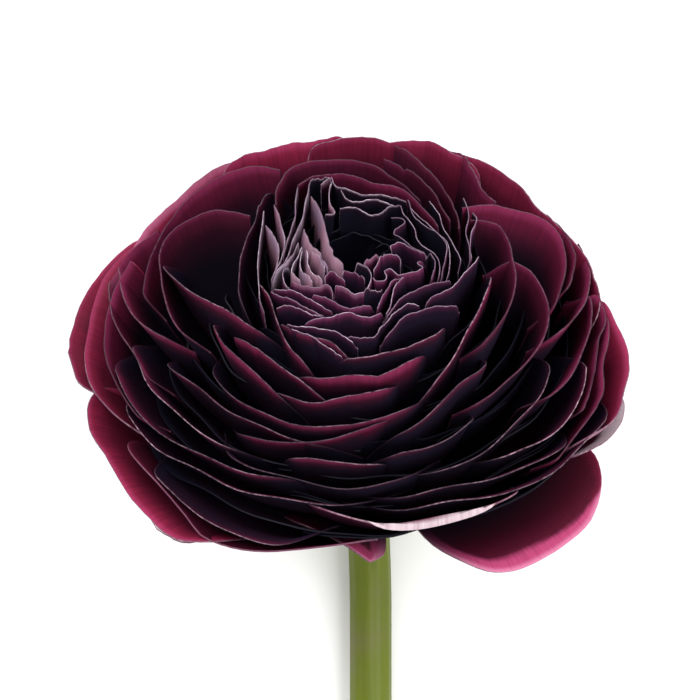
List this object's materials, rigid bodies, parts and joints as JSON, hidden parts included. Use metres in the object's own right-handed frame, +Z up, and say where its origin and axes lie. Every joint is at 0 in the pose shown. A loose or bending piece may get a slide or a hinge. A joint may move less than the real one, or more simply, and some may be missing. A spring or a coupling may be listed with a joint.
{
  "type": "ranunculus flower",
  "caption": "Cut double ranunculus that lies on its side: a packed, many-layered dark bloom with a frilled hollow heart on a curved green stem.",
  "frame": {"origin": "middle of the flat spot on which the lowest, spread petal rests", "axes": "+Z up from the surface it lies on, +Y from the cut end of the stem to the bloom, +X to the right seen from above; the bloom faces +Y and up at 45 degrees"},
  "size_m": [0.0883, 0.1836, 0.064],
  "materials": {
    "stem": "satin, fine lengthwise ribs",
    "sepal": "matte, finely haired",
    "petal": "velvety satin with pale rims",
    "heart_petal": "velvety, dusty pink to lavender grey",
    "carpel": "matte"
  },
  "bodies": {
    "root": {"stem": "stem", "sepals": "sepal", "outer_petals": "petal", "heart_petals": "heart_petal", "carpels": "carpel"}
  },
  "joints": []
}
